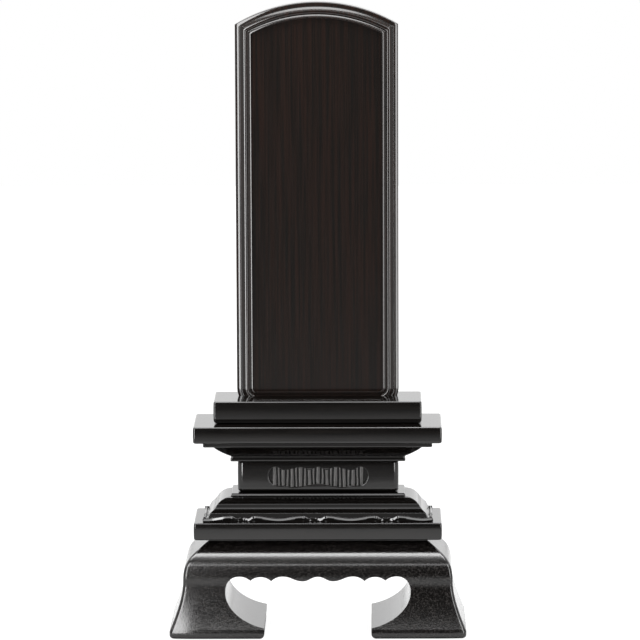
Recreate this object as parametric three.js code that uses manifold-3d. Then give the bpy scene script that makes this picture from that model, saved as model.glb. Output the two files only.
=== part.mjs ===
// Buddhist memorial tablet: an arched ebony board that lifts out of a stepped stand on a low leg base.
// Millimetres, +X right, -Y front, +Z up. The origin is on the ground under the middle of the stand.
import * as THREE from 'three';
import { mergeVertices } from 'three/addons/utils/BufferGeometryUtils.js';
import Module from 'manifold-3d';

const wasm = await Module();
wasm.setup();

// Heights of the stand's pieces, from the ground up
const legBaseHeight = 41.8;
const lowerPlateThickness = 7.6;
const lowerMouldingHeight = 10.35;
const waistHeight = 14.25;
const corniceHeight = 10.5;
const upperPlateThickness = 7.3;
const topPlateThickness = 9.9;

// Widths across the front. Each step stands out in front as far as it does at the sides.
const legBaseWidth = 129.4;
const lowerPlateWidth = 108.4;
const waistWidth = 70.8;
const upperPlateWidth = 108.4;
const topPlateWidth = 91;

// Depths: the waist's front, the flat back that it shares with the plates, and the leg base's back
const waistFront = 2.4;
const standBack = 20.8;
const legBaseBack = 26.9;
const backInsetShare = 0.6;

// Eased edges
const plateTopRadius = 0.7;
const plateBottomRadius = 0.9;
const topPlateBottomRadius = 1.8;
const plateCornerRadius = 0.8;
const waistEdgeRadius = 1.6;
const waistCornerRadius = 2.4;
const legCornerRadius = 1.4;
const mouldingCornerRadius = 0.6;

// Leg base: a rim on the ground, flanks that sweep in, a round shoulder and a short neck
const rimHeight = 3.2;
const groundEdgeRadius = 1.6;
const flankInset = 5.85;
const flankHeight = 24;
const neckInset = 17;
const neckHeight = 1.3;

// Opening between the legs, which goes right through from front to back
const toeLength = 41.4;
const toeThickness = 4.8;
const toeEdgeRadius = 2.5;
const legThickness = 18.4;
const openingWidestHeight = 20;
const apronHeight = 26.65;
const apronDrop = 2.1;
const apronEndInset = 6;

// Lower moulding: a lip at the top, an ogee and a rounded leaf edge at the foot
const lipOverhang = 3;
const lipHeight = 1.2;
const leafEdgeInset = 3.75;
const leafEdgeRadius = 1.3;

// Cornice: a wide fillet under the upper plate, an ovolo and a narrow fillet on the waist
const wideFilletInset = 4.2;
const wideFilletHeight = 2.3;
const narrowFilletHeight = 1.4;
const ovoloInset = 4.1;
const quirk = 0.5;

// Carved oval in the waist's front: reeds of two widths stand between narrow grooves
const ovalWidth = 43.3;
const ovalHeight = 8.6;
const ovalRise = 0.2;
const ovalSink = 0.6;
const grooveDepth = 1.8;
const grooveWidth = 0.7;
const wideReed = 1.45;
const narrowReed = 0.8;
const reedPairs = 10;

// Tablet board. It stands near the back of the top plate.
const tabletHeight = 173.3;
const tabletWidth = 71;
const tabletThickness = 10;
const tabletFront = 8.1;
const archRise = 9.75;

// Frame moulding of the board: two rolls and a bead, then the sunk panel
const outerRollWidth = 2.4;
const innerRollWidth = 2.8;
const beadWidth = 1.7;
const rollHeight = 1.1;
const beadDrop = 0.7;
const panelDrop = 1.6;
const panelBottomMargin = 1.9;
const panelCornerRadius = 1.5;

// Tenon of the board and its mortise
const tenonWidth = 52;
const tenonThickness = 5;
const tenonLength = 8.2;
const mortiseClearance = 0.3;

// Hidden dowels and their holes
const dowelDiameter = 6;
const dowelClearance = 0.3;
const plateDowelDepth = 4;
const topDowelDepth = 6;
const footDowelDepth = 9;
const waistDowelInset = 13;
const waistDowelSetBack = 7.6;

// Fineness of the curves
const curveStep = 2;
const fineStep = 0.9;
const cornerSteps = 3;
const archSteps = 18;
const rollSteps = 4;
const dowelSides = 16;
const cutMargin = 2;

const polishedEbony = new THREE.MeshStandardMaterial({ color: 0x2b2726, roughness: 0.25, metalness: 0 });
const panelEbony = new THREE.MeshStandardMaterial({ color: 0x221c1a, roughness: 0.3, metalness: 0 });
const satinEbony = new THREE.MeshStandardMaterial({ color: 0x302c2a, roughness: 0.4, metalness: 0 });
const paleHardwood = new THREE.MeshStandardMaterial({ color: 0xc9a877, roughness: 0.7, metalness: 0 });

// A closed geometry as a solid that can be joined and cut
function solid(geometry) {
  geometry.deleteAttribute('normal');
  geometry.deleteAttribute('uv');
  const welded = mergeVertices(geometry);
  return new wasm.Manifold(new wasm.Mesh({
    numProp: 3,
    vertProperties: new Float32Array(welded.attributes.position.array),
    triVerts: new Uint32Array(welded.index.array),
  }));
}

// A finished solid as a named mesh, standing at its height
function piece(name, body, material, base) {
  const { vertProperties, triVerts } = body.getMesh();
  const geometry = new THREE.BufferGeometry();
  geometry.setAttribute('position', new THREE.BufferAttribute(vertProperties, 3));
  geometry.setIndex(new THREE.BufferAttribute(triVerts, 1));
  geometry.computeVertexNormals();
  const mesh = new THREE.Mesh(geometry, material);
  mesh.name = name;
  mesh.position.z = base;
  return mesh;
}

// Points along a path: a straight stretch keeps its ends, a bend gets a point about every step
function pointsAlong(path, step) {
  const points = [];
  for (const curve of path.curves) {
    const count = curve.isLineCurve ? 1 : Math.max(2, Math.ceil(curve.getLength() / step));
    for (const point of curve.getPoints(count)) {
      const last = points.at(-1);
      if (!last || last.distanceTo(point) > 1e-6) {
        points.push(point);
      }
    }
  }
  return points;
}

// Outline of a rounded rectangle, counterclockwise
function roundedRectangle(halfWidth, front, back, radius) {
  const points = [];
  const centres = [[1, front + radius], [1, back - radius], [-1, back - radius], [-1, front + radius]];
  centres.forEach(([right, centreY], turn) => {
    for (let step = 0; step <= cornerSteps; step += 1) {
      const angle = (turn - 1 + step / cornerSteps) * Math.PI / 2;
      const x = right * (halfWidth - radius) + radius * Math.cos(angle);
      points.push(new THREE.Vector2(x, centreY + radius * Math.sin(angle)));
    }
  });
  return points;
}

// Front of a step of the stand that is this wide
function stepFront(halfWidth) {
  return waistFront + waistWidth / 2 - halfWidth;
}

// A four-sided moulding: the profile (half width, height) runs round a rounded rectangle. At the back
// only a share of each inset is taken.
function moulding(profile, cornerRadius, back, backShare = 1) {
  const positions = [];
  const index = [];
  const widest = Math.max(...profile.map((point) => point.x));
  for (const { x: halfWidth, y: height } of profile) {
    const ringBack = back - backShare * (widest - halfWidth);
    for (const { x, y } of roundedRectangle(halfWidth, stepFront(halfWidth), ringBack, cornerRadius)) {
      positions.push(x, y, height);
    }
  }
  const sides = 4 * (cornerSteps + 1);
  const top = (profile.length - 1) * sides;
  for (let ring = 0; ring < top; ring += sides) {
    for (let side = 0; side < sides; side += 1) {
      const next = (side + 1) % sides;
      index.push(ring + side, ring + next, ring + sides + next);
      index.push(ring + side, ring + sides + next, ring + sides + side);
    }
  }
  for (let side = 1; side < sides - 1; side += 1) {
    index.push(0, side + 1, side);
    index.push(top, top + side, top + side + 1);
  }
  const geometry = new THREE.BufferGeometry();
  geometry.setAttribute('position', new THREE.Float32BufferAttribute(positions, 3));
  geometry.setIndex(index);
  return solid(geometry);
}

// A moulding whose back is planed flat, flush with the plates
function flatBackedMoulding(profile, cornerRadius) {
  const deep = moulding(profile, cornerRadius, standBack + lowerPlateWidth / 2);
  return deep.trimByPlane([0, -1, 0], -standBack);
}

// Profile of a plain plate or block with its edges eased above and below
function plateProfile(width, thickness, bottomRadius, topRadius) {
  const half = width / 2;
  const path = new THREE.Path();
  path.moveTo(half - bottomRadius, 0);
  path.absarc(half - bottomRadius, bottomRadius, bottomRadius, -Math.PI / 2, 0);
  path.absarc(half - topRadius, thickness - topRadius, topRadius, 0, Math.PI / 2);
  return pointsAlong(path, fineStep);
}

// A solid with an outline seen from the front, from one depth to another
function frontExtrusion(outline, front, back) {
  const shape = new THREE.Shape(outline);
  const geometry = new THREE.ExtrudeGeometry(shape, { depth: back - front, bevelEnabled: false });
  geometry.rotateX(Math.PI / 2);
  geometry.translate(0, back, 0);
  return solid(geometry);
}

function block(width, depth, height, x, y, z) {
  const geometry = new THREE.BoxGeometry(width, depth, height);
  geometry.translate(x, y, z);
  return solid(geometry);
}

function rod(radius, bottom, top, x) {
  const geometry = new THREE.CylinderGeometry(radius, radius, top - bottom, dowelSides);
  geometry.rotateX(Math.PI / 2);
  geometry.translate(x, dowelY, (bottom + top) / 2);
  return solid(geometry);
}

// The two holes of a pair of dowels, cut from one height to another
function withDowelHoles(body, x, bottom, top) {
  const radius = dowelDiameter / 2 + dowelClearance;
  return body.subtract(rod(radius, bottom, top, x)).subtract(rod(radius, bottom, top, -x));
}

function mirrored(points) {
  return points.map(({ x, y }) => new THREE.Vector2(-x, y)).reverse();
}

// Heights of the joints between the pieces
const lowerPlateBase = legBaseHeight;
const lowerMouldingBase = lowerPlateBase + lowerPlateThickness;
const waistBase = lowerMouldingBase + lowerMouldingHeight;
const corniceBase = waistBase + waistHeight;
const upperPlateBase = corniceBase + corniceHeight;
const topPlateBase = upperPlateBase + upperPlateThickness;
const tabletBase = topPlateBase + topPlateThickness;

// Places of the dowels: beside the mortise, in the waist, and between the waist's and the neck's end
const mortiseWidth = tenonWidth + 2 * mortiseClearance;
const neckWidth = legBaseWidth - 2 * neckInset;
const topDowelX = (mortiseWidth / 2 + topPlateWidth / 2) / 2;
const waistDowelX = waistWidth / 2 - waistDowelInset;
const footDowelX = (waistDowelX + neckWidth / 2) / 2;
const dowelY = waistFront + waistDowelSetBack;
const plateHoleDepth = plateDowelDepth + dowelClearance;

// Height of the apron's edge: crests and lobes turn smoothly, cusps come to a point
function apronEdge(path, halfSpan) {
  const turns = [
    { share: 1, drop: 0 },
    { share: 0.854, drop: 0.87, cusp: true },
    { share: 0.725, drop: 0.1 },
    { share: 0.591, drop: 0.97, cusp: true },
    { share: 0.443, drop: 0 },
    { share: 0.192, drop: 1 },
    { share: 0, drop: 0.05 },
  ];
  for (let i = 1; i < turns.length; i += 1) {
    const [from, to] = [turns[i - 1], turns[i]];
    const x0 = from.share * halfSpan;
    const x1 = to.share * halfSpan;
    const z0 = apronHeight - from.drop * apronDrop;
    const z1 = apronHeight - to.drop * apronDrop;
    const handle = (turn, x, z, otherX, otherZ) => (turn.cusp
      ? [x + 0.25 * (otherX - x), z + 0.62 * (otherZ - z)]
      : [x + 0.42 * (otherX - x), z]);
    path.bezierCurveTo(...handle(from, x0, z0, x1, z1), ...handle(to, x1, z1, x0, z0), x1, z1);
  }
}

// Outline of the opening between the legs, seen from the front
function legOpening() {
  const tip = legBaseWidth / 2 - toeLength;
  const widest = legBaseWidth / 2 - flankInset - legThickness;
  const apronEnd = widest - apronEndInset;
  const path = new THREE.Path();
  path.moveTo(tip + toeEdgeRadius, -cutMargin);
  path.lineTo(tip + toeEdgeRadius, 0);
  path.absarc(tip + toeEdgeRadius, toeEdgeRadius, toeEdgeRadius, -Math.PI / 2, -Math.PI, true);
  path.lineTo(tip, toeThickness);
  const reach = widest - tip;
  const climb = openingWidestHeight - toeThickness;
  path.bezierCurveTo(tip + 0.49 * reach, toeThickness + 0.1 * climb,
    widest, toeThickness + 0.49 * climb, widest, openingWidestHeight);
  const rise = apronHeight - openingWidestHeight;
  path.bezierCurveTo(widest, openingWidestHeight + 0.57 * rise,
    widest - 0.38 * apronEndInset, apronHeight, apronEnd, apronHeight);
  apronEdge(path, apronEnd);
  const right = pointsAlong(path, curveStep * 0.75);
  return [...right, ...mirrored(right).slice(1)];
}

function legBase() {
  const half = legBaseWidth / 2;
  const neck = half - neckInset;
  const flank = half - flankInset;
  const shoulderTop = legBaseHeight - neckHeight;
  const path = new THREE.Path();
  path.moveTo(half - groundEdgeRadius, 0);
  path.absarc(half - groundEdgeRadius, groundEdgeRadius, groundEdgeRadius, -Math.PI / 2, 0);
  path.lineTo(half, rimHeight);
  const sweep = flankHeight - rimHeight;
  path.bezierCurveTo(half - 0.4 * flankInset, rimHeight + 0.27 * sweep,
    flank, rimHeight + 0.68 * sweep, flank, flankHeight);
  const shoulder = shoulderTop - flankHeight;
  path.bezierCurveTo(flank, flankHeight + 0.55 * shoulder,
    neck + 0.76 * (flank - neck), flankHeight + 0.67 * shoulder, neck, shoulderTop);
  path.lineTo(neck, legBaseHeight);
  const body = moulding(pointsAlong(path, curveStep), legCornerRadius, legBaseBack, backInsetShare);
  const opening = frontExtrusion(legOpening(), stepFront(half) - cutMargin, legBaseBack + cutMargin);
  const opened = body.subtract(opening);
  const holeBottom = legBaseHeight - footDowelDepth - dowelClearance;
  return withDowelHoles(opened, footDowelX, holeBottom, legBaseHeight + cutMargin);
}

function lowerPlate() {
  const profile = plateProfile(lowerPlateWidth, lowerPlateThickness, plateBottomRadius, plateTopRadius);
  const body = moulding(profile, plateCornerRadius, standBack);
  const onLegs = withDowelHoles(body, footDowelX, -cutMargin, plateHoleDepth);
  const top = lowerPlateThickness;
  return withDowelHoles(onLegs, waistDowelX, top - plateHoleDepth, top + cutMargin);
}

function lowerMoulding() {
  const lip = waistWidth / 2 + lipOverhang;
  const edge = lowerPlateWidth / 2 - leafEdgeInset;
  const nose = edge - leafEdgeRadius;
  const noseTop = 2 * leafEdgeRadius;
  const ogeeTop = lowerMouldingHeight - lipHeight;
  const run = nose - lip;
  const fall = ogeeTop - noseTop;
  const path = new THREE.Path();
  path.moveTo(nose, 0);
  path.absarc(nose, leafEdgeRadius, leafEdgeRadius, -Math.PI / 2, Math.PI / 2);
  path.bezierCurveTo(nose - 0.2 * run, noseTop + 0.12 * fall,
    lip + 0.66 * run, noseTop + 0.32 * fall, lip + 0.56 * run, noseTop + 0.53 * fall);
  path.bezierCurveTo(lip + 0.46 * run, noseTop + 0.74 * fall, lip + 0.3 * run, ogeeTop, lip, ogeeTop);
  path.lineTo(lip, lowerMouldingHeight);
  const body = flatBackedMoulding(pointsAlong(path, fineStep), mouldingCornerRadius);
  return withDowelHoles(body, waistDowelX, -cutMargin, lowerMouldingHeight + cutMargin);
}

// Outline of the carved oval: a pointed lobe at each end, smaller waves along the top
function ovalOutline(middle) {
  const halfWidth = ovalWidth / 2;
  const halfHeight = ovalHeight / 2;
  const at = (across, up) => [across * halfWidth, middle + up * halfHeight];
  const path = new THREE.Path();
  path.moveTo(...at(0, -0.7));
  path.bezierCurveTo(...at(0.2, -0.7), ...at(0.35, -1), ...at(0.5, -0.98));
  path.quadraticCurveTo(...at(0.6, -0.96), ...at(0.66, -0.72));
  path.bezierCurveTo(...at(0.72, -0.82), ...at(0.78, -1), ...at(0.85, -1));
  path.bezierCurveTo(...at(0.94, -0.98), ...at(1, -0.5), ...at(1, 0));
  path.bezierCurveTo(...at(1, 0.5), ...at(0.94, 1), ...at(0.85, 1));
  path.quadraticCurveTo(...at(0.76, 1), ...at(0.71, 0.72));
  path.bezierCurveTo(...at(0.6, 0.72), ...at(0.48, 0.92), ...at(0.38, 0.95));
  path.bezierCurveTo(...at(0.3, 0.95), ...at(0.26, 0.76), ...at(0.18, 0.76));
  path.bezierCurveTo(...at(0.12, 0.76), ...at(0.08, 1), ...at(0, 1));
  const right = pointsAlong(path, fineStep);
  return [...right, ...mirrored(right).slice(1, -1)];
}

function waistBlock() {
  const profile = plateProfile(waistWidth, waistHeight, waistEdgeRadius, waistEdgeRadius);
  const body = moulding(profile, waistCornerRadius, standBack);
  const middle = waistHeight / 2 + ovalRise;
  const outline = ovalOutline(middle);
  let carved = body.subtract(frontExtrusion(outline, waistFront - cutMargin, waistFront + ovalSink));
  const oval = frontExtrusion(outline, waistFront, waistFront + grooveDepth);
  const pairPitch = wideReed + narrowReed + 2 * grooveWidth;
  const firstGroove = -(reedPairs * pairPitch + wideReed + grooveWidth) / 2;
  for (let pair = 0; pair <= reedPairs; pair += 1) {
    const x = firstGroove + pair * pairPitch;
    for (const across of [x, x + wideReed + grooveWidth]) {
      const cutter = block(grooveWidth, 2 * grooveDepth, ovalHeight, across, waistFront + grooveDepth, middle);
      carved = carved.subtract(cutter.intersect(oval));
    }
  }
  return withDowelHoles(carved, waistDowelX, -cutMargin, waistHeight + cutMargin);
}

function corniceMoulding() {
  const narrow = waistWidth / 2 + lipOverhang;
  const wide = upperPlateWidth / 2 - wideFilletInset;
  const ovoloOut = wide - ovoloInset;
  const ovoloIn = narrow - quirk;
  const ovoloTop = corniceHeight - wideFilletHeight;
  const ovoloBottom = narrowFilletHeight + quirk;
  const path = new THREE.Path();
  path.moveTo(narrow, 0);
  path.lineTo(narrow, narrowFilletHeight);
  path.lineTo(ovoloIn, narrowFilletHeight);
  path.lineTo(ovoloIn, ovoloBottom);
  path.absellipse(ovoloIn, ovoloTop, ovoloOut - ovoloIn, ovoloTop - ovoloBottom, -Math.PI / 2, 0);
  path.lineTo(wide, ovoloTop);
  path.lineTo(wide, corniceHeight);
  const body = flatBackedMoulding(pointsAlong(path, fineStep), mouldingCornerRadius);
  return withDowelHoles(body, waistDowelX, -cutMargin, corniceHeight + cutMargin);
}

function upperPlate() {
  const profile = plateProfile(upperPlateWidth, upperPlateThickness, plateBottomRadius, plateTopRadius);
  const body = moulding(profile, plateCornerRadius, standBack);
  const onWaist = withDowelHoles(body, waistDowelX, -cutMargin, plateHoleDepth);
  const top = upperPlateThickness;
  return withDowelHoles(onWaist, topDowelX, top - plateHoleDepth, top + cutMargin);
}

// Middle of the tenon's thickness, front to back
const tenonMiddle = tabletFront + tabletThickness / 2;

function topPlate() {
  const profile = plateProfile(topPlateWidth, topPlateThickness, topPlateBottomRadius, plateTopRadius);
  const body = moulding(profile, plateCornerRadius, standBack);
  const mortise = block(mortiseWidth, tenonThickness + 2 * mortiseClearance,
    topPlateThickness + 2 * cutMargin, 0, tenonMiddle, topPlateThickness / 2);
  return withDowelHoles(body.subtract(mortise), topDowelX, -cutMargin, topDowelDepth + dowelClearance);
}

// The board's outline seen from the front, drawn in by an inset: up one side, over the arch and down
const archRadius = ((tabletWidth / 2) ** 2 + archRise ** 2) / (2 * archRise);
function boardOutline(inset) {
  const half = tabletWidth / 2 - inset;
  const radius = archRadius - inset;
  const centre = tabletHeight - archRadius;
  const spread = Math.asin(half / radius);
  const points = [new THREE.Vector2(half, 0)];
  for (let step = 0; step <= archSteps; step += 1) {
    const angle = spread * (1 - 2 * step / archSteps);
    points.push(new THREE.Vector2(radius * Math.sin(angle), centre + radius * Math.cos(angle)));
  }
  points.push(new THREE.Vector2(-half, 0));
  return points;
}

// Section of the frame from the panel out to the board's edge: (inset from the edge, depth from the front)
function frameSection() {
  const section = [];
  const inner = outerRollWidth + innerRollWidth;
  section.push(new THREE.Vector2(inner + beadWidth / 2, beadDrop));
  section.push(new THREE.Vector2(inner, rollHeight));
  for (const [start, width] of [[outerRollWidth, innerRollWidth], [0, outerRollWidth]]) {
    for (let step = 1; step <= rollSteps; step += 1) {
      const angle = Math.PI * step / rollSteps;
      const inset = start + width / 2 * (1 + Math.cos(angle));
      section.push(new THREE.Vector2(inset, rollHeight * (1 - Math.sin(angle))));
    }
  }
  return section;
}

// The board with its frame on both faces, before the panels are sunk
function mouldedBoard() {
  const front = frameSection();
  const back = front.map(({ x, y }) => new THREE.Vector2(x, tabletThickness - y)).reverse();
  const section = [...front, ...back];
  const positions = [];
  const index = [];
  for (const { x: inset, y: depth } of section) {
    for (const { x, y: height } of boardOutline(inset)) {
      positions.push(x, depth, height);
    }
  }
  const stations = archSteps + 3;
  for (let row = 0; row < section.length - 1; row += 1) {
    for (let station = 0; station < stations - 1; station += 1) {
      const a = row * stations + station;
      const b = a + stations;
      index.push(a, b + 1, a + 1);
      index.push(a, b, b + 1);
    }
  }
  const lastRow = (section.length - 1) * stations;
  for (let station = 1; station < stations - 1; station += 1) {
    index.push(0, station, station + 1);
    index.push(lastRow, lastRow + station + 1, lastRow + station);
  }
  const rightEnds = section.map((_, row) => row * stations);
  const leftEnds = section.map((_, row) => (row + 1) * stations - 1);
  const foot = [...rightEnds, ...leftEnds.reverse()];
  const footOutline = foot.map((i) => new THREE.Vector2(positions[3 * i], positions[3 * i + 1]));
  for (const [a, b, c] of THREE.ShapeUtils.triangulateShape(footOutline, [])) {
    index.push(foot[a], foot[c], foot[b]);
  }
  const geometry = new THREE.BufferGeometry();
  geometry.setAttribute('position', new THREE.Float32BufferAttribute(positions, 3));
  geometry.setIndex(index);
  return solid(geometry);
}

// Outline of the sunk panel, with its two lower corners rounded
function panelOutline() {
  const inset = outerRollWidth + innerRollWidth + beadWidth;
  const cornerX = tabletWidth / 2 - inset - panelCornerRadius;
  const path = new THREE.Path();
  path.absarc(cornerX, panelBottomMargin + panelCornerRadius, panelCornerRadius, -Math.PI / 2, 0);
  const corner = pointsAlong(path, fineStep);
  const arch = boardOutline(inset).slice(1, -1);
  return [...corner, ...arch, ...mirrored(corner)];
}

function tabletBoard() {
  const outline = panelOutline();
  const back = tabletThickness - panelDrop;
  const sunk = mouldedBoard()
    .subtract(frontExtrusion(outline, -cutMargin, panelDrop))
    .subtract(frontExtrusion(outline, back, tabletThickness + cutMargin));
  const tenon = block(tenonWidth, tenonThickness, tenonLength + cutMargin,
    0, tabletThickness / 2, (cutMargin - tenonLength) / 2);
  return sunk.add(tenon).translate([0, tabletFront, 0]);
}

const tablet = new THREE.Group();
tablet.add(
  piece('tablet_board', tabletBoard(), panelEbony, tabletBase),
  piece('top_plate', topPlate(), polishedEbony, topPlateBase),
  piece('upper_plate', upperPlate(), polishedEbony, upperPlateBase),
  piece('cornice_moulding', corniceMoulding(), polishedEbony, corniceBase),
  piece('waist_block', waistBlock(), polishedEbony, waistBase),
  piece('lower_moulding', lowerMoulding(), polishedEbony, lowerMouldingBase),
  piece('lower_plate', lowerPlate(), polishedEbony, lowerPlateBase),
  piece('leg_base', legBase(), satinEbony, 0),
);

// Each pair of dowels: its name, its distance from the middle, and the heights of its two ends
const dowels = [
  ['top_dowel', topDowelX, topPlateBase - plateDowelDepth, topPlateBase + topDowelDepth],
  ['waist_dowel', waistDowelX, lowerMouldingBase - plateDowelDepth, upperPlateBase + plateDowelDepth],
  ['foot_dowel', footDowelX, lowerPlateBase - footDowelDepth, lowerPlateBase + plateDowelDepth],
];
for (const [name, x, bottom, top] of dowels) {
  const radius = dowelDiameter / 2;
  tablet.add(piece(`${name}_left`, rod(radius, 0, top - bottom, -x), paleHardwood, bottom));
  tablet.add(piece(`${name}_right`, rod(radius, 0, top - bottom, x), paleHardwood, bottom));
}

export default tablet;
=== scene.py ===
import bpy
import bmesh
from math import copysign, cos, pi, radians, sin, sqrt
from mathutils import Matrix, Vector
from mathutils.geometry import interpolate_bezier


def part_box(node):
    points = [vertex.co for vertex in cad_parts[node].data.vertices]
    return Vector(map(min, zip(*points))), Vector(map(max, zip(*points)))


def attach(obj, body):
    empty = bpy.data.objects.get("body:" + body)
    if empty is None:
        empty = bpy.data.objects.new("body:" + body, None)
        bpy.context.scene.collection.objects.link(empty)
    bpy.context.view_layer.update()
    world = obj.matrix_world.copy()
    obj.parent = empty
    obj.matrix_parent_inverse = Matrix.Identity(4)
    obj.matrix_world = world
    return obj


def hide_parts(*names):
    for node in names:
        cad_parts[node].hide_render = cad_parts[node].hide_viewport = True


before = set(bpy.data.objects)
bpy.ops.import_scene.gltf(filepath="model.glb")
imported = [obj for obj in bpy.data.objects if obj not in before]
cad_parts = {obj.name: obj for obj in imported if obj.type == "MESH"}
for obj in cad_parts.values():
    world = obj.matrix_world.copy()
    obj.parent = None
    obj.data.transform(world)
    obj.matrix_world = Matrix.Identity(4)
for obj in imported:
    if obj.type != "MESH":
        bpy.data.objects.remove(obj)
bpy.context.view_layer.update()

# Camera. A long lens stands 2 m in front of the tablet, a little to its right and well above it, and
# looks slightly down. The picture is square.
camera_place = Vector((0.02616, -2.0164, 0.43187))
camera_down = radians(8.33)
camera_left = radians(0.71)
camera_roll = radians(-0.24)
focal_length = 262.48
sensor_width = 36
lens = bpy.data.cameras.new("camera")
lens.lens = focal_length
lens.sensor_width = sensor_width
camera = bpy.data.objects.new("camera", lens)
bpy.context.scene.collection.objects.link(camera)
tilt = Matrix.Rotation(pi / 2 - camera_down, 4, "X") @ Matrix.Rotation(camera_roll, 4, "Z")
camera.matrix_world = Matrix.Translation(camera_place) @ Matrix.Rotation(camera_left, 4, "Z") @ tilt
bpy.context.scene.camera = camera
bpy.context.scene.view_settings.view_transform = "Standard"

# Studio. The camera sees plain white. The wood sees a dim room, pale near the ground, with a narrow
# bright band and a bright ceiling above, a bright field behind and paler fields at both sides.
world = bpy.data.worlds.new("studio")
bpy.context.scene.world = world
world.use_nodes = True
nodes, links = world.node_tree.nodes, world.node_tree.links
nodes.clear()
direction = nodes.new("ShaderNodeTexCoord")
split = nodes.new("ShaderNodeSeparateXYZ")
links.new(direction.outputs["Generated"], split.inputs[0])


def world_math(operation, *values):
    """Works out one value from others, each a number or another node's output."""
    node = nodes.new("ShaderNodeMath")
    node.operation = operation
    for socket, value in zip(node.inputs, values):
        if isinstance(value, (int, float)):
            socket.default_value = value
        else:
            links.new(value, socket)
    return node.outputs[0]


def world_ramp(axis, stops):
    """Brightness against a direction's X, Y or Z, which runs from -1 to 1."""
    ramp = nodes.new("ShaderNodeValToRGB")
    while len(ramp.color_ramp.elements) < len(stops):
        ramp.color_ramp.elements.new(1)
    for element, (place, level) in zip(ramp.color_ramp.elements, stops):
        element.position = 0.5 + 0.5 * place
        element.color = (level, level, level, 1)
    links.new(world_math("MULTIPLY_ADD", split.outputs[axis], 0.5, 0.5), ramp.inputs[0])
    return ramp.outputs[0]


ground_levels = [(-1, 0.3), (-0.23, 0.9), (-0.2, 0.6), (-0.165, 0.35), (-0.14, 0.15)]
room_levels = [(-0.08, 0.08), (0.1, 0.05), (0.3, 0.08), (0.56, 0.15)]
band_levels = [(0.59, 6), (0.63, 6), (0.66, 0.5)]
ceiling_levels = [(0.82, 0.35), (0.92, 1.2), (1, 5)]
behind_level = 1.4
room = world_ramp("Z", ground_levels + room_levels + band_levels + ceiling_levels)
sides = world_ramp("X", [(-1, 0.8), (-0.8, 0.8), (-0.5, 0), (0.5, 0), (0.8, 0.8), (1, 0.8)])
behind = world_ramp("Y", [(-1, 0), (-0.1, 0), (0.15, 1), (1, 1)])
low_part = world_ramp("Z", [(-1, 1), (0.45, 1), (0.65, 0.15), (1, 0.1)])
around = world_math("MAXIMUM", sides, world_math("MULTIPLY", behind, behind_level))
fields = world_math("MULTIPLY", around, low_part)
studio = nodes.new("ShaderNodeBackground")
links.new(world_math("MAXIMUM", room, fields), studio.inputs["Color"])
plain = nodes.new("ShaderNodeBackground")
plain.inputs["Color"].default_value = (1, 1, 1, 1)
light_path = nodes.new("ShaderNodeLightPath")
either = nodes.new("ShaderNodeMixShader")
links.new(light_path.outputs["Is Camera Ray"], either.inputs[0])
links.new(studio.outputs[0], either.inputs[1])
links.new(plain.outputs[0], either.inputs[2])
output = nodes.new("ShaderNodeOutputWorld")
links.new(either.outputs[0], output.inputs["Surface"])

# Floor. A plain pale table top that ends a third of a metre in front of the tablet. One soft lamp hangs
# over it. Two tall ones stand in front, the left one stronger, and they light the wood alone.
floor_half = 1.0
floor_front = -0.33
floor_level = -0.0002
floor_white = 1.27
floor_white_share = 0.75
floor_place = (0, floor_front + floor_half, floor_level)
bpy.ops.mesh.primitive_plane_add(size=2 * floor_half, location=floor_place)
floor = bpy.context.object
floor.name = "floor"
pale_floor = bpy.data.materials.new("pale_floor")
pale_floor.use_nodes = True
floor.data.materials.append(pale_floor)
floor_nodes, floor_links = pale_floor.node_tree.nodes, pale_floor.node_tree.links
floor_shader = floor_nodes["Principled BSDF"]
floor_shader.inputs["Base Color"].default_value = (0.6, 0.6, 0.6, 1)
floor_shader.inputs["Roughness"].default_value = 0.9
floor_shader.inputs["Specular IOR Level"].default_value = 0.0
white = floor_nodes.new("ShaderNodeEmission")
white.inputs["Strength"].default_value = floor_white
floor_path = floor_nodes.new("ShaderNodeLightPath")
paled = floor_nodes.new("ShaderNodeMixShader")
white_share = floor_nodes.new("ShaderNodeMath")
white_share.operation = "MULTIPLY"
white_share.inputs[1].default_value = floor_white_share
floor_links.new(floor_path.outputs["Is Camera Ray"], white_share.inputs[0])
floor_links.new(white_share.outputs[0], paled.inputs[0])
floor_links.new(floor_shader.outputs[0], paled.inputs[1])
floor_links.new(white.outputs[0], paled.inputs[2])
floor_links.new(paled.outputs[0], floor_nodes["Material Output"].inputs["Surface"])


def soft_lamp(name, place, wide, tall, radiance, aim):
    """Hangs an evenly bright panel at a place and turns its face to a point."""
    lamp = bpy.data.objects.new(name, bpy.data.lights.new(name, "AREA"))
    lamp.data.shape = "RECTANGLE"
    lamp.data.size = wide
    lamp.data.size_y = tall
    lamp.data.energy = pi * radiance * wide * tall
    turn = (Vector(aim) - Vector(place)).to_track_quat("-Z", "Y")
    lamp.matrix_world = Matrix.Translation(place) @ turn.to_matrix().to_4x4()
    lamp.visible_camera = False
    bpy.context.scene.collection.objects.link(lamp)
    return lamp


unlit = bpy.data.collections.new("not_lit_by_the_side_lamps")
unlit.objects.link(floor)
unlit.collection_objects[0].light_linking.link_state = "EXCLUDE"
lamp_aim = (0, 0, 0.25)
soft_lamp("top_lamp", (-0.01, 0, 0.385), 0.44, 0.17, radiance=11, aim=(-0.01, 0, 0))
left_lamp = soft_lamp("left_lamp", (-0.165, -0.37, 0.25), 0.12, 0.5, radiance=15, aim=lamp_aim)
right_lamp = soft_lamp("right_lamp", (0.26, -0.36, 0.25), 0.13, 0.5, radiance=9, aim=lamp_aim)
for lamp in (left_lamp, right_lamp):
    lamp.light_linking.receiver_collection = unlit

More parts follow.
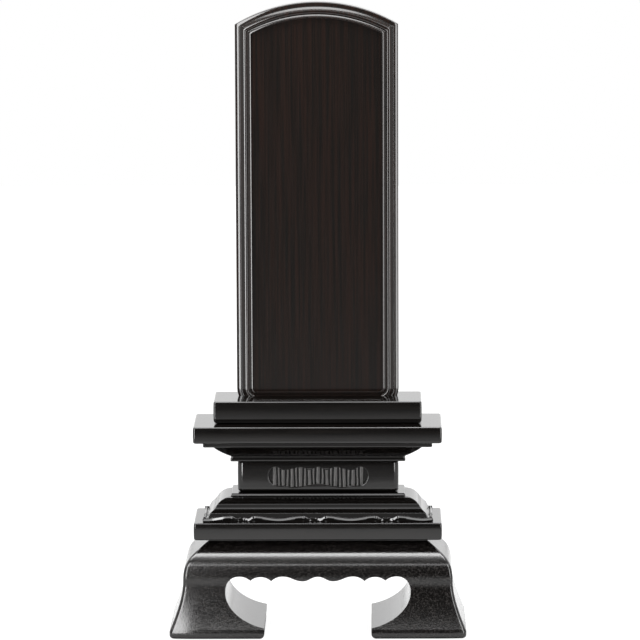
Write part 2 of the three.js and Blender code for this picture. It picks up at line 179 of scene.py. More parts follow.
# Leg base. Satin ebony, planed on all four sides to one profile with a rim on the ground, swept flanks
# and a round shoulder, and then sawn through under a scalloped apron. The stand sits on its neck.
leg_low, leg_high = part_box("leg_base")
leg_corner = 0.0014
leg_spacing = 0.002
leg_back_share = 0.6
ground_edge = 0.0016
rim_height = 0.0032
flank_inset = 0.00585
flank_height = 0.024
neck_inset = 0.017
neck_height = 0.0013

# Points nearer than touching are one, and rings on a flat back lie at least a hair apart.
touching = 0.000001
hair = 0.00001


def bend(start, leave, arrive, end, steps):
    """The points of a curve from start to end, which leaves and arrives along its two handles."""
    places = [Vector(place).to_3d() for place in (start, leave, arrive, end)]
    return [(point.x, point.y) for point in interpolate_bezier(*places, steps + 1)]


def swept(start, end, leave, arrive, steps):
    """A bend whose handles are given as shares of the way across and up from start to end."""
    across, up = end[0] - start[0], end[1] - start[1]
    leave = (start[0] + leave[0] * across, start[1] + leave[1] * up)
    arrive = (start[0] + arrive[0] * across, start[1] + arrive[1] * up)
    return bend(start, leave, arrive, end, steps)


def quarter_round(radius, steps):
    """A rounded lower edge's (inset, height) points, from the underside out to the side."""
    turns = [pi / 2 * k / steps for k in range(steps + 1)]
    return [(radius * (1 - sin(turn)), radius * (1 - cos(turn))) for turn in turns]


def extruded(mesh, face):
    """Extrudes one face and returns the new face at the end."""
    parts = bmesh.ops.extrude_face_region(mesh, geom=[face, *face.edges, *face.verts])["geom"]
    return next(part for part in parts if isinstance(part, bmesh.types.BMFace))


def moved_along(place, low, high, new_low, new_high, reach):
    """Moves a place with the two ends it lies between, and keeps the shape within reach of each."""
    if place < low + reach:
        return place + new_low - low
    if place > high - reach:
        return place + new_high - high
    share = (place - low - reach) / (high - low - 2 * reach)
    return new_low + reach + share * (new_high - new_low - 2 * reach)


def planed_piece(low, high, corner, profile, back_share=1.0, spacing=1.0):
    """Raises a block ring by ring through a profile of (inset, height) points.

    The back has its share of each inset. Where it is flat, its rings never fold back down: each lies a
    hair or more above the last.
    """
    def ring(inset):
        return high[0] - inset, low[1] + inset, high[1] - back_share * inset

    first_inset, first_height = profile[0]
    half, front, back = ring(first_inset)
    mesh = bmesh.new()
    places = [(-half, front), (half, front), (half, back), (-half, back)]
    outline = mesh.faces.new([mesh.verts.new((x, y, low[2] + first_height)) for x, y in places])
    for edge in outline.edges[:]:
        cuts = int(edge.calc_length() / spacing)
        if cuts:
            bmesh.ops.bisect_edges(mesh, edges=[edge], cuts=cuts)
    nearest = [min(mesh.verts, key=lambda vert: (vert.co.xy - Vector(place)).length) for place in places]
    bmesh.ops.bevel(mesh, geom=nearest, offset=corner, offset_type="OFFSET", segments=6, profile=0.5,
                    affect="VERTICES", material=-1)
    mesh.faces.ensure_lookup_table()
    top = mesh.faces[0]
    past_corner = 1.01 * corner
    heights = [height for inset, height in profile]
    for count, (next_inset, next_height) in enumerate(profile[1:], 1):
        back_height = min(later - hair * step for step, later in enumerate(heights[count:]))
        top = extruded(mesh, top)
        next_half, next_front, next_back = ring(next_inset)
        for vert in top.verts:
            on_back = vert.co.y > back - touching and abs(vert.co.x) < half - past_corner
            vert.co.x = moved_along(vert.co.x, -half, half, -next_half, next_half, past_corner)
            vert.co.y = moved_along(vert.co.y, front, back, next_front, next_back, past_corner)
            vert.co.z = low[2] + (back_height if on_back and not back_share else next_height)
        half, front, back = next_half, next_front, next_back
    bmesh.ops.recalc_face_normals(mesh, faces=mesh.faces)
    return mesh


def finished(name, mesh, wood, body, node, sharp=35):
    """Makes the mesh an object that stands for its CAD node and rides on its body."""
    data = bpy.data.meshes.new(name)
    mesh.to_mesh(data)
    mesh.free()
    data.shade_smooth()
    data.set_sharp_from_angle(angle=radians(sharp))
    data.materials.append(wood)
    piece = bpy.data.objects.new(name, data)
    bpy.context.scene.collection.objects.link(piece)
    piece.modifiers.new("even_normals", "WEIGHTED_NORMAL").keep_sharp = True
    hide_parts(node)
    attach(piece, body)
    return piece


def cut(mesh, tool, operation="DIFFERENCE"):
    """Cuts one mesh with another and returns the result."""
    pair = []
    for name, part in (("block", mesh), ("tool", tool)):
        data = bpy.data.meshes.new(name)
        part.to_mesh(data)
        part.free()
        pair.append(bpy.data.objects.new(name, data))
        bpy.context.scene.collection.objects.link(pair[-1])
    block, cutter = pair
    saw = block.modifiers.new("saw", "BOOLEAN")
    saw.operation = operation
    saw.solver = "EXACT"
    saw.object = cutter
    result = bmesh.new()
    result.from_object(block, bpy.context.evaluated_depsgraph_get())
    for part in pair:
        bpy.data.objects.remove(part)
    return result


shoulder_top = leg_high[2] - neck_height
flank = swept((0, rim_height), (flank_inset, flank_height), (0.4, 0.27), (1, 0.68), 16)
shoulder = swept((flank_inset, flank_height), (neck_inset, shoulder_top), (0, 0.55), (0.24, 0.67), 22)
leg_profile = quarter_round(ground_edge, 5) + flank + shoulder[1:] + [(neck_inset, leg_high[2])]
leg_base = planed_piece(leg_low, leg_high, leg_corner, leg_profile, leg_back_share, leg_spacing)

# The front face falls back a little towards its two ends.
fall_reach = 0.012
fall_depth = 0.0008
for vert in leg_base.verts:
    past = abs(vert.co.x) - (leg_high[0] - fall_reach)
    if past > 0 and vert.co.z < flank_height and vert.co.y < 0:
        fade = cos(pi / 2 * vert.co.z / flank_height)
        vert.co.y += fall_depth * fade * (past / fall_reach) ** 2

# The opening's outline: each toe's tip and back, the brow above it and the apron's scallops, which are
# (share of the way out from the middle, share of the drop, whether it is a sharp cusp).
toe_long = 0.0414
toe_tip = leg_high[0] - toe_long
toe_edge = 0.0025
toe_height = 0.0048
opening_half = 0.04045
opening_widest = 0.02
brow_wide = 0.006
brow_reach = 0.0037
brow_climb = 0.57
apron_end = opening_half - brow_wide
apron_top = 0.02665
apron_drop = 0.0021
scallops = [(1, 0, False), (0.854, 0.87, True), (0.725, 0.1, False), (0.591, 0.97, True),
            (0.443, 0, False), (0.192, 1, False), (0, 0.05, False)]
cusp_handle = Vector((0.25, 0.62))
round_handle = Vector((0.42, 0))
toe_round = [(toe_tip + inset, height) for inset, height in quarter_round(toe_edge, 6)]
toe_back = swept((toe_tip, toe_height), (opening_half, opening_widest), (0.49, 0.1), (1, 0.49), 20)
brow_leave = (opening_half, opening_widest + brow_climb * (apron_top - opening_widest))
brow = bend((opening_half, opening_widest), brow_leave, (apron_end + brow_reach, apron_top),
            (apron_end, apron_top), 10)
apron = []
for (share, drop, cusp), (next_share, next_drop, next_cusp) in zip(scallops, scallops[1:]):
    start = Vector((share * apron_end, apron_top - drop * apron_drop))
    end = Vector((next_share * apron_end, apron_top - next_drop * apron_drop))
    leave = start + (end - start) * (cusp_handle if cusp else round_handle)
    arrive = end - (end - start) * (cusp_handle if next_cusp else round_handle)
    apron += bend(start, leave, arrive, end, 9)[1:]

saw_past = 0.002
half_outline = [(toe_tip + toe_edge, -saw_past)] + toe_round + toe_back + brow[1:] + apron
opening_outline = half_outline + [(-x, z) for x, z in reversed(half_outline[:-1])]
saw_front = leg_low[1] - saw_past
saw_stroke = (0, leg_high[1] - leg_low[1] + 2 * saw_past, 0)
saw_path = bmesh.new()
saw_face = saw_path.faces.new([saw_path.verts.new((x, saw_front, z)) for x, z in opening_outline])
bmesh.ops.translate(saw_path, verts=extruded(saw_path, saw_face).verts, vec=saw_stroke)
bmesh.ops.recalc_face_normals(saw_path, faces=saw_path.faces)
leg_base = cut(leg_base, saw_path)
bmesh.ops.remove_doubles(leg_base, verts=leg_base.verts, dist=touching)

# The opening's edges are eased where its walls meet the front and back faces.
opening_edge = 0.0004
opening_room = 0.001
above_ground = 0.0005
wall_lean = 0.02
face_lean = 0.7
sharp_turn = 0.7
sawn_edges = []
for edge in leg_base.edges:
    wall, outside = sorted(edge.link_faces, key=lambda face: abs(face.normal.y))
    at = (edge.verts[0].co + edge.verts[1].co) / 2
    near = abs(at.x) < opening_half + opening_room and above_ground < at.z < apron_top + opening_room
    between = abs(wall.normal.y) < wall_lean and abs(outside.normal.y) > face_lean
    if near and between and edge.calc_face_angle() > sharp_turn:
        sawn_edges.append(edge)
bmesh.ops.bevel(leg_base, geom=sawn_edges, offset=opening_edge, offset_type="OFFSET", segments=3,
                profile=0.5, affect="EDGES", clamp_overlap=True, material=-1)


def bare_wood(name):
    """A new wood, still to be dressed."""
    wood = bpy.data.materials.new(name)
    wood.use_nodes = True
    return wood


def wood_node(wood, kind, **values):
    """Adds a node to a wood and sets its inputs: a value is set, a socket is linked."""
    node = wood.node_tree.nodes.new(kind)
    for name, value in values.items():
        socket = node.inputs[name.replace("_", " ")]
        if isinstance(value, bpy.types.NodeSocket):
            wood.node_tree.links.new(value, socket)
        else:
            socket.default_value = value
    return node


def grain(wood, stretch, detail=3.0):
    """A noise along the grain: the stretch gives the waves per metre along X, Y and Z."""
    place = wood_node(wood, "ShaderNodeTexCoord")
    laid = wood_node(wood, "ShaderNodeMapping", Vector=place.outputs["Object"], Scale=stretch)
    noise = wood_node(wood, "ShaderNodeTexNoise", Vector=laid.outputs[0], Scale=1.0, Detail=detail)
    return noise.outputs["Fac"]


def tones(wood, value, stops):
    """Turns a noise into colours through stops of (noise, colour)."""
    ramp = wood_node(wood, "ShaderNodeValToRGB", Fac=value)
    while len(ramp.color_ramp.elements) < len(stops):
        ramp.color_ramp.elements.new(1)
    for element, (place, colour) in zip(ramp.color_ramp.elements, stops):
        element.position = place
        element.color = (*colour, 1)
    return ramp.outputs["Color"]


def gloss(wood, stretch, least, most):
    """A roughness that changes along the grain between a least and a most."""
    return tones(wood, grain(wood, stretch), [(0.3, (least, least, least)), (0.7, (most, most, most))])


def dress(wood, colour, roughness, bumps, strength, bump_height=0.0001):
    """Gives a wood its colour, its roughness and the small bumps of its grain."""
    shader = wood.node_tree.nodes["Principled BSDF"]
    relief = wood_node(wood, "ShaderNodeBump", Height=bumps, Strength=strength, Distance=bump_height)
    wood.node_tree.links.new(colour, shader.inputs["Base Color"])
    wood.node_tree.links.new(roughness, shader.inputs["Roughness"])
    wood.node_tree.links.new(relief.outputs[0], shader.inputs["Normal"])


satin_ebony = bare_wood("satin_ebony")
speckle = grain(satin_ebony, (1450, 1450, 1450), detail=2.0)
speckle_tones = [(0.4, (0.0008, 0.0006, 0.0005)), (0.52, (0.0025, 0.0021, 0.0019)),
                 (0.66, (0.013, 0.0117, 0.011))]
dress(satin_ebony,
      tones(satin_ebony, speckle, speckle_tones),
      gloss(satin_ebony, (900, 1500, 1500), 0.13, 0.2),
      speckle, strength=0.3)
finished("leg_base_sawn", leg_base, satin_ebony, "stand", "leg_base", sharp=30)

# Lower plate. A thin board of polished ebony with eased edges, doweled to the neck of the leg base.
# Its upright faces swell slightly in their middle.
plate_top_edge = 0.0007
plate_bottom_edge = 0.0009
plate_corner = 0.0008
plate_swell = 0.00007
polished_ebony = bare_wood("polished_ebony")
dress(polished_ebony,
      tones(polished_ebony, grain(polished_ebony, (40, 700, 700)),
            [(0.3, (0.0012, 0.001, 0.0009)), (0.7, (0.003, 0.0025, 0.0022))]),
      gloss(polished_ebony, (150, 900, 900), 0.06, 0.1),
      grain(polished_ebony, (300, 2500, 2500)), strength=0.012)


def eased_plate(node, bottom_edge, top_edge, corner, swell, steps=12):
    """A board with round edges, whose upright faces swell slightly in their middle."""
    low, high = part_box(node)
    tall = high[2] - low[2]
    face_tall = tall - bottom_edge - top_edge
    shares = [k / steps for k in range(1, steps)]
    below = [(swell + inset, height) for inset, height in quarter_round(bottom_edge, 6)]
    face = [(swell * (2 * share - 1) ** 2, bottom_edge + face_tall * share) for share in shares]
    above = [(swell + height, tall - inset) for inset, height in quarter_round(top_edge, 6)]
    return planed_piece(low, high, corner, below + face + above)


lower_plate = eased_plate("lower_plate", plate_bottom_edge, plate_top_edge, plate_corner, plate_swell)
finished("lower_plate_planed", lower_plate, polished_ebony, "stand", "lower_plate")

# Lower moulding. Polished ebony: a lip under the waist, an ogee that flares out and a rolled leaf edge
# carved at its foot. Its back is planed flat, and long dowels pass through it.
moulding_low, moulding_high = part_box("lower_moulding")
moulding_tall = moulding_high[2] - moulding_low[2]
moulding_corner = 0.0006
leaf_spacing = 0.00035
rim_width = 0.0012
rim_tall = 0.0026
edge_tall = 0.0011
edge_foot = rim_tall - edge_tall
edge_lean = 0.00046
edge_soft = 0.0001
undercut = 0.0006
gutter_wide = 0.0017
gutter_tall = 0.0009
lip_inset = 0.01205
lip_height = 0.0012
lip_foot = 0.00025
lip_face = 0.00085
lip_step = 0.00003
lip_lean = 0.0004
ogee_start = (0.0012, 0.0019)
ogee_top = moulding_tall - lip_height


def bends(start, waves):
    """Joins bends end to end: each wave gives its two handles, its end and its number of steps."""
    points = [start]
    for leave, arrive, end, steps in waves:
        points += bend(start, leave, arrive, end, steps)[1:]
        start = end
    return points


def on_ogee(along, up):
    """A place on the ogee, at shares of its run inwards and of its rise."""
    ogee_run = lip_inset - ogee_start[0]
    ogee_rise = ogee_top - ogee_start[1]
    return ogee_start[0] + along * ogee_run, ogee_start[1] + up * ogee_rise


quarters = [k / 4 for k in range(5)]
rim = [(undercut, 0), (0.97 * undercut, 2 * edge_soft), (0.5 * undercut, 0.5 * edge_foot),
       (0.4 * edge_soft, edge_foot - edge_soft)]
rim += [(edge_lean * share, edge_foot + (edge_tall - edge_soft) * share) for share in quarters]
rim += [(edge_lean + edge_soft, rim_tall - 0.3 * edge_soft), (edge_lean + 2.5 * edge_soft, rim_tall),
        (rim_width - 2 * edge_soft, rim_tall - edge_soft), (rim_width, rim_tall - 4 * edge_soft)]
gutter = [(rim_width + edge_soft, gutter_tall), (rim_width + 4 * edge_soft, gutter_tall + edge_soft),
          (rim_width + 8 * edge_soft, gutter_tall + 3.5 * edge_soft)]
ogee = bends(ogee_start, [(on_ogee(0.2, 0.18), on_ogee(0.35, 0.36), on_ogee(0.43, 0.56), 14),
                          (on_ogee(0.51, 0.76), on_ogee(0.7, 1), on_ogee(1, 1), 14)])
ogee = [(inset, height) for inset, height in ogee if inset > rim_width + gutter_wide]
lip_start = (lip_inset + lip_step, ogee_top + lip_foot)
lip = [(lip_inset, ogee_top + 0.6 * lip_foot)]
lip += [(lip_start[0] + lip_lean * share, lip_start[1] + lip_face * share) for share in quarters]
lip += [(lip_inset + lip_lean + 2 * edge_soft, moulding_tall)]
lower_moulding = planed_piece(moulding_low, moulding_high, moulding_corner, rim + gutter + ogee + lip,
                              back_share=0, spacing=leaf_spacing)

# The leaf edge: each leaf's rim sags between two crests, and small leaf tips overlap in the notches. It
# runs lower along the sides, and ends in a plain low stretch at the back.
leaf_pitch = 0.0315
first_notch = -0.0014
notch_half = 0.002
notch_flat = 0.0012
notch_tall = 0.0013
notch_depth = 0.0004
crest_away = 0.0052
crest_tall = 0.0026
middle_tall = 0.0015
tip_away = 0.0011
tip_wide = 0.0018
tip_rise = 0.00035
fold_wide = 0.0006
fold_depth = 0.00035
carved_depth = 0.0015
side_tall = 0.0009
side_wave = 0.2
side_fade = 0.004


def smooth(share):
    """Eases a share in and out between 0 and 1."""
    share = min(max(share, 0.0), 1.0)
    return share * share * (3 - 2 * share)


def from_notch(run):
    """How far a place along the edge is from the nearest notch."""
    return abs((run - first_notch + leaf_pitch / 2) % leaf_pitch - leaf_pitch / 2)


def leaf_top(away):
    """How high the leaf edge stands at a distance from the nearest notch."""
    if away > crest_away:
        sag = 0.5 - 0.5 * cos(pi * (away - crest_away) / (leaf_pitch / 2 - crest_away))
        return crest_tall + (middle_tall - crest_tall) * sag
    tip = tip_rise * max(0.0, cos(pi * (away - tip_away) / tip_wide)) if away < notch_half else 0.0
    climbed = smooth((away - notch_half) / (crest_away - notch_half))
    return notch_tall + (crest_tall - notch_tall) * climbed + tip


for vert in lower_moulding.verts:
    at = vert.co
    from_front = at.y - moulding_low[1]
    from_side = moulding_high[0] - abs(at.x)
    on_front = from_front < from_side
    inset = min(from_front, from_side)
    at_back = at.y > moulding_high[1] - moulding_corner - edge_soft
    if at_back and from_side < carved_depth + 4 * edge_soft:
        at.z = min(at.z, moulding_low[2] + side_tall)
    elif inset < carved_depth:
        away = from_notch(at.x if on_front else moulding_high[0] + from_front)
        top = leaf_top(away)
        if not on_front:
            side_top = side_tall - side_wave * (crest_tall - top)
            top += (side_top - top) * smooth((from_front - rim_width) / side_fade)
        fade = 1 - smooth((inset - rim_width) / (carved_depth - rim_width))
        at.z -= (rim_tall - top) * min((at.z - moulding_low[2]) / edge_foot, 1) * fade
        drawn_in = fold_depth * (1 - smooth((away - crest_away + fold_wide) / fold_wide))
        drawn_in += notch_depth * (1 - smooth((away - notch_flat) / notch_flat))
        drawn_in *= 1 - min(inset / carved_depth, 1)
        if on_front:
            at.y += drawn_in
        else:
            at.x -= copysign(drawn_in, at.x)
finished("lower_moulding_carved", lower_moulding, polished_ebony, "stand", "lower_moulding",
         sharp=50)

# Waist block. Polished ebony with rounded edges, doweled between the two mouldings. A scalloped oval of
# upright reeds is carved in its front.
waist_low, waist_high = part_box("waist_block")
waist_front = waist_low[1]
waist_edge = 0.0016
waist_corner = 0.0024
waist_swell = 0.00005
oval_lift = 0.0002
oval_middle = (waist_low[2] + waist_high[2]) / 2 + oval_lift
oval_half = 0.02165
oval_rise = 0.0043
mouth_round = 0.0006
groove_depth = 0.0018
waist = eased_plate("waist_block", waist_edge, waist_edge, waist_corner, waist_swell)


def oval_at(across, up):
    """A place in the oval, at shares of its half width and of its rise."""
    return across * oval_half, oval_middle + up * oval_rise


oval_start = (0, -0.84)
oval_shares = [((0.14, -0.84), (0.35, -1.16), (0.5, -1.18)),
               ((0.57, -1.18), (0.62, -1.08), (0.65, -0.98)),
               ((0.71, -1.05), (0.77, -1.06), (0.84, -1.02)),
               ((0.94, -0.98), (1, -0.5), (1, 0)),
               ((1, 0.5), (0.95, 0.9), (0.87, 0.9)),
               ((0.79, 0.9), (0.76, 0.56), (0.7, 0.56)),
               ((0.55, 0.56), (0.46, 0.86), (0.36, 0.86)),
               ((0.27, 0.86), (0.23, 0.58), (0.16, 0.58)),
               ((0.1, 0.58), (0.08, 0.88), (0, 0.88))]
oval_waves = [(*(oval_at(across, up) for across, up in wave), 8) for wave in oval_shares]
oval_right = bends(oval_at(*oval_start), oval_waves)
oval_outline = oval_right + [(-x, z) for x, z in reversed(oval_right[1:-1])]
oval_outward = []
for before, after in zip(oval_outline[-1:] + oval_outline[:-1], oval_outline[1:] + oval_outline[:1]):
    along = (Vector(after) - Vector(before)).normalized()
    oval_outward.append(Vector((along.y, -along.x)))


def oval_ring(verts, depth, out):
    """Lays a ring at a depth under the waist's face, some way outside the oval's outline."""
    for vert, (x, z), outward in zip(verts, oval_outline, oval_outward):
        vert.co = (x + out * outward.x, waist_front + depth, z + out * outward.y)


mouth_start = -0.001
mouth_steps = [(height, inset) for inset, height in quarter_round(mouth_round, 5)]
oval_prism = bmesh.new()
oval_face = oval_prism.faces.new([oval_prism.verts.new((x, 0, z)) for x, z in oval_outline])
oval_ring(oval_face.verts, mouth_start, mouth_round)
for depth, out in mouth_steps + [(2 * groove_depth, 0)]:
    first_place = oval_face.verts[0].co.copy()
    oval_face = extruded(oval_prism, oval_face)
    verts = list(oval_face.verts)
    start = min(range(len(verts)), key=lambda k: (verts[k].co - first_place).length)
    oval_ring(verts[start:] + verts[:start], depth, out)
bmesh.ops.recalc_face_normals(oval_prism, faces=oval_prism.faces)

# The reeds: wide and narrow ones in turn, rounded in front, a little apart and not quite straight.
reed_count = 21
wide_reed = 0.00137
narrow_reed = 0.00072
groove = 0.00087
reed_sink = 0.00045
reed_round = 0.00035
reed_flare = 0.00012
reed_wander = 0.00012
wander_up = 400
wander_across = 900
reed_widths = [narrow_reed if count % 2 else wide_reed for count in range(reed_count)]
reed_from = -(sum(reed_widths) + (reed_count - 1) * groove) / 2
reeds = []
for width in reed_widths:
    reeds.append((reed_from + width / 2, width / 2))
    reed_from += width + groove


def reed_depth(x):
    """How deep the carving lies under the waist's face at a place across the oval."""
    centre, half = min(reeds, key=lambda reed: abs(x - reed[0]) - reed[1])
    share = abs(x - centre) / (half + reed_flare)
    if share < 1:
        return reed_sink + reed_round * (0.25 * share ** 2 + 0.75 * share ** 6)
    return groove_depth


gouge_columns = 430
gouge_rows = 8
gouge_past = 0.0008
gouge_start = -0.0015
gouge = bmesh.new()
bmesh.ops.create_grid(gouge, x_segments=gouge_columns, y_segments=gouge_rows, size=1)
for vert in gouge.verts:
    x = vert.co.x * (oval_half + gouge_past)
    up = vert.co.y * (oval_rise + 2 * gouge_past)
    wander = reed_wander * sin(wander_up * up + wander_across * x)
    vert.co = (x + wander, waist_front + reed_depth(x), oval_middle + up)
sheet = gouge.faces[:] + gouge.edges[:] + gouge.verts[:]
gouged = bmesh.ops.extrude_face_region(gouge, geom=sheet)["geom"]
for vert in (part for part in gouged if isinstance(part, bmesh.types.BMVert)):
    vert.co.y = waist_front + gouge_start
bmesh.ops.recalc_face_normals(gouge, faces=gouge.faces)
waist = cut(waist, cut(oval_prism, gouge, "INTERSECT"))
bmesh.ops.remove_doubles(waist, verts=waist.verts, dist=touching)
# A rougher, paler wood for the reed faces. Its pale colour is partly the dull cut surface and partly
# painted light.
reed_ebony_with_painted_light = bare_wood("reed_ebony_with_painted_light")
dress(reed_ebony_with_painted_light,
      tones(reed_ebony_with_painted_light, grain(reed_ebony_with_painted_light, (900, 900, 160)),
            [(0.3, (0.01, 0.0095, 0.009)), (0.7, (0.034, 0.032, 0.031))]),
      gloss(reed_ebony_with_painted_light, (900, 900, 900), 0.34, 0.44),
      grain(reed_ebony_with_painted_light, (2500, 2500, 900)), strength=0.1)
carved_waist = finished("waist_block_carved", waist, polished_ebony, "stand", "waist_block",
                        sharp=40)
carved_waist.data.materials.append(reed_ebony_with_painted_light)

# The reeds' round faces are left as the gouge cuts them, so they shine less than the block. Their paler
# wood is partly the dull cut surface and partly painted light on the lit reed faces. The groove walls
# and floors lie in shade and keep the dark polished wood.
reed_half_tall = 0.0055
shallowest = waist_front + 0.5 * reed_sink
deepest = waist_front + reed_sink + reed_round
for face in carved_waist.data.polygons:
    at = face.center
    in_oval = abs(at.x) < oval_half and abs(at.z - oval_middle) < reed_half_tall
    if in_oval and shallowest < at.y < deepest:
        face.material_index = 1

# Cornice moulding. Polished ebony: a narrow fillet on the waist, an ovolo and a wide fillet under the
# upper plate. Its back is planed flat, and long dowels pass through it.
cornice_low, cornice_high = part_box("cornice_moulding")
cornice_tall = cornice_high[2] - cornice_low[2]
cornice_corner = 0.0006
narrow_inset = 0.0116
narrow_fillet = 0.0014
narrow_edge = 0.0004
narrow_ease = 0.0003
wide_fillet = 0.0023
wide_edge = 0.0005
quirk = 0.0005
ovolo_inset = 0.0041
ovolo_base = 0.0022
ovolo_top = cornice_tall - wide_fillet
ovolo_leave = (0.01, 0.0031)
ovolo_arrive = (ovolo_inset + 0.00005, ovolo_top - 0.0013)


def ease(profile, radius):
    """Rounds each inner corner of a profile of (inset, height) points."""
    eased = [profile[0]]
    for before, corner, after in zip(profile, profile[1:], profile[2:]):
        corner = Vector(corner)
        first = corner + (Vector(before) - corner).normalized() * radius
        last = corner + (Vector(after) - corner).normalized() * radius
        eased += [tuple(first), tuple((first + 2 * corner + last) / 4), tuple(last)]
    return eased + [profile[-1]]


narrow_foot = [(narrow_inset + inset, height) for inset, height in quarter_round(narrow_edge, 5)[:-1]]
narrow_step = [(narrow_inset, 0), (narrow_inset, narrow_fillet), (narrow_inset + quirk, narrow_fillet)]
narrow_step = ease(narrow_step, narrow_ease)[1:]
ovolo = bend((narrow_inset + quirk, ovolo_base), ovolo_leave, ovolo_arrive, (ovolo_inset, ovolo_top), 18)
wide_step = [(inset, ovolo_top + height) for inset, height in quarter_round(wide_edge, 5)]
cornice_profile = narrow_foot + narrow_step + ovolo + wide_step + [(0, cornice_tall)]
cornice = planed_piece(cornice_low, cornice_high, cornice_corner, cornice_profile, back_share=0)
finished("cornice_moulding_planed", cornice, polished_ebony, "stand", "cornice_moulding")

# Upper plate. A thin board of polished ebony with eased edges, like the lower one. It lies on the
# cornice, and the long dowels through the waist hold it.
upper_plate = eased_plate("upper_plate", plate_bottom_edge, plate_top_edge, plate_corner, plate_swell)
finished("upper_plate_planed", upper_plate, polished_ebony, "stand", "upper_plate")

# Top plate. A thick small board of polished ebony with a rounder lower edge, doweled to the upper plate.
# Its mortise takes the tablet's tenon with a little room all round.
tablet_low, tablet_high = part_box("tablet_board")
tablet_middle = (tablet_low[1] + tablet_high[1]) / 2
tablet_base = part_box("top_plate")[1][2]
top_plate_bottom_edge = 0.0018
tenon_wide = 0.052
tenon_thick = 0.005
tenon_room = 0.0003
chisel_long = 0.03
chisel_above = 0.01
top_plate = eased_plate("top_plate", top_plate_bottom_edge, plate_top_edge, plate_corner, plate_swell)
chisel = bmesh.new()
bmesh.ops.create_cube(chisel, size=1)
bmesh.ops.scale(chisel, verts=chisel.verts,
                vec=(tenon_wide + 2 * tenon_room, tenon_thick + 2 * tenon_room, chisel_long))
bmesh.ops.translate(chisel, verts=chisel.verts,
                    vec=(0, tablet_middle, tablet_base + chisel_above - chisel_long / 2))
top_plate = cut(top_plate, chisel)
finished("top_plate_mortised", top_plate, polished_ebony, "stand", "top_plate")

# Tablet board. One board of ebony with a low arch. A band, a ridge and a bead are worked round the sunk
# panel on both faces. The tenon below stands in the top plate's mortise, from which the board lifts out.
board_half = tablet_high[0]
board_top = tablet_high[2]
board_front = tablet_low[1]
board_thick = tablet_high[1] - tablet_low[1]
arch_rise = 0.00975
arch_cuts = 63
arch_radius = (board_half ** 2 + arch_rise ** 2) / (2 * arch_rise)
arch_centre = board_top - arch_radius
ridge_high = 0.0011
run_out = 0.005
lower_corner = 0.0084
corner_x = board_half - lower_corner
corner_z = tablet_base - run_out + lower_corner
board = bmesh.new()
places = [(-board_half, tablet_base - run_out), (board_half, tablet_base - run_out),
          (board_half, board_top - arch_rise), (-board_half, board_top - arch_rise)]
board.faces.new([board.verts.new((x, board_front + ridge_high, z)) for x, z in places])
below_arch = board_top - 2 * arch_rise
top_edge = [edge for edge in board.edges if all(vert.co.z > below_arch for vert in edge.verts)]
arch = bmesh.ops.bisect_edges(board, edges=top_edge, cuts=arch_cuts)["geom_split"]
for vert in (part for part in arch if isinstance(part, bmesh.types.BMVert)):
    vert.co.z = arch_centre + sqrt(arch_radius ** 2 - vert.co.x ** 2)
foot_corners = [vert for vert in board.verts if vert.co.z < tablet_base]
bmesh.ops.bevel(board, geom=foot_corners, offset=lower_corner, offset_type="OFFSET", segments=10,
                profile=0.5, affect="VERTICES", material=-1)
board.faces.ensure_lookup_table()
back_face = extruded(board, board.faces[0])
bmesh.ops.translate(board, verts=back_face.verts, vec=(0, board_thick - 2 * ridge_high, 0))
bmesh.ops.recalc_face_normals(board, faces=board.faces)

# The frame's steps are (distance inside the board's edge, height), from the outer band over the ridge
# and the bead down to the sunk panel.
frame_start = (0, -0.0004)
outer_band = [((0, -0.0001), (0.0001, 0.00005), (0.0004, 0.00015), 6),
              ((0.0009, 0.0003), (0.0013, 0.0004), (0.0018, 0.00043), 7),
              ((0.002, 0.00043), (0.002, 0.0002), (0.0022, 0.0002), 4)]
ridge = [((0.0026, 0.00042), (0.0032, 0.00075), (0.0036, 0.00094), 7),
         ((0.0038, 0.00103), (0.0041, 0.00108), (0.0045, 0.00108), 7),
         ((0.0051, 0.00106), (0.0051, 0.00045), (0.0053, 0.0004), 6)]
bead = [((0.0056, 0.00058), (0.006, 0.00082), (0.0063, 0.00095), 6),
        ((0.0065, 0.00101), (0.0067, 0.00105), (0.0068, 0.00106), 4),
        ((0.0069, 0.00106), (0.00695, 0.0008), (0.00695, 0.0004), 4)]
panel_edge = (0.007, -0.0005)
frame_steps = bends(frame_start, outer_band + ridge + bead) + [panel_edge]


def draw_in(vert, before, after):
    """Moves a point of the outline from one distance inside the board's edge to another."""
    if vert.co.z > corner_z + hair:
        vert.co.x *= (board_half - after) / (board_half - before)
        vert.co.z = arch_centre + sqrt((arch_radius - after) ** 2 - vert.co.x ** 2)
    else:
        centre = Vector((copysign(corner_x, vert.co.x), vert.co.y, corner_z))
        vert.co = centre + (vert.co - centre) * (lower_corner - after) / (lower_corner - before)


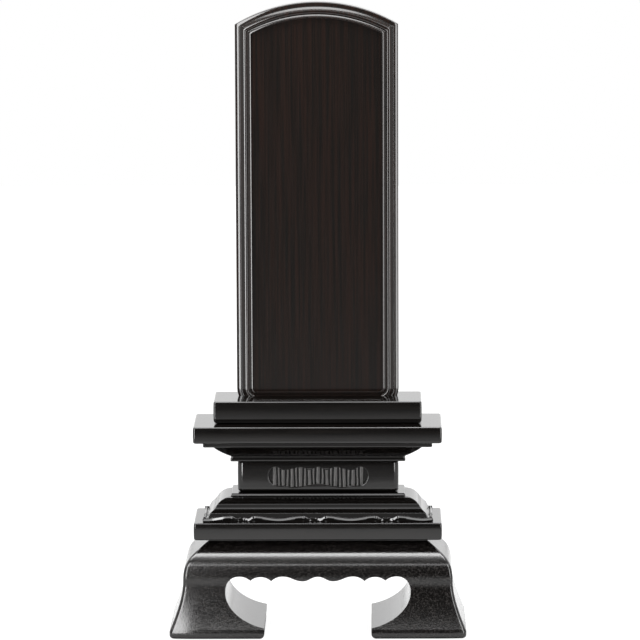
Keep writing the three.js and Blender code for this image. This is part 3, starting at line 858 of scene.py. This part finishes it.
square_on = 0.99
for outward in (-1, 1):
    face = next(face for face in board.faces if face.normal.y * outward > square_on)
    across, height = 0.0, 0.0
    for next_across, next_height in frame_steps[1:]:
        face = extruded(board, face)
        for vert in face.verts:
            draw_in(vert, across, next_across)
            vert.co.y += outward * (next_height - height)
        across, height = next_across, next_height

# The board was worked a little longer below. It is sawn off square at its foot, and gets its tenon.
bmesh.ops.bisect_plane(board, geom=board.verts[:] + board.edges[:] + board.faces[:], dist=1e-7,
                       plane_co=(0, 0, tablet_base), plane_no=(0, 0, 1), clear_inner=True)
bmesh.ops.holes_fill(board, edges=[edge for edge in board.edges if edge.is_boundary])
tenon_long = tablet_base - tablet_low[2]
tenon_root = 0.002
tenon_place = (0, tablet_middle, tablet_base + (tenon_root - tenon_long) / 2)
tenon = bmesh.ops.create_cube(board, size=1)["verts"]
bmesh.ops.scale(board, verts=tenon, vec=(tenon_wide, tenon_thick, tenon_long + tenon_root))
bmesh.ops.translate(board, verts=tenon, vec=tenon_place)
bmesh.ops.recalc_face_normals(board, faces=board.faces)
board_ebony = bare_wood("board_ebony")
dress(board_ebony,
      tones(board_ebony, grain(board_ebony, (1500, 1500, 20)),
            [(0.38, (0.003, 0.0025, 0.0022)), (0.64, (0.0065, 0.0036, 0.0028))]),
      gloss(board_ebony, (900, 900, 60), 0.07, 0.11),
      grain(board_ebony, (1500, 1500, 60)), strength=0.004)
finished("tablet_board_framed", board, board_ebony, "tablet", "tablet_board", sharp=30)

# Dowels. Plain hardwood pins, glued in blind holes, that hold the stand's pieces in line. They are
# hidden, so the CAD's own shapes stay and only get their wood.
dowel_wood = bare_wood("dowel_wood")
dress(dowel_wood,
      tones(dowel_wood, grain(dowel_wood, (900, 900, 40)),
            [(0.3, (0.42, 0.28, 0.14)), (0.7, (0.62, 0.46, 0.27))]),
      gloss(dowel_wood, (900, 900, 80), 0.6, 0.75),
      grain(dowel_wood, (2500, 2500, 120)), strength=0.2)
for name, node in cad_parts.items():
    if "dowel" in name:
        node.data.materials.clear()
        node.data.materials.append(dowel_wood)
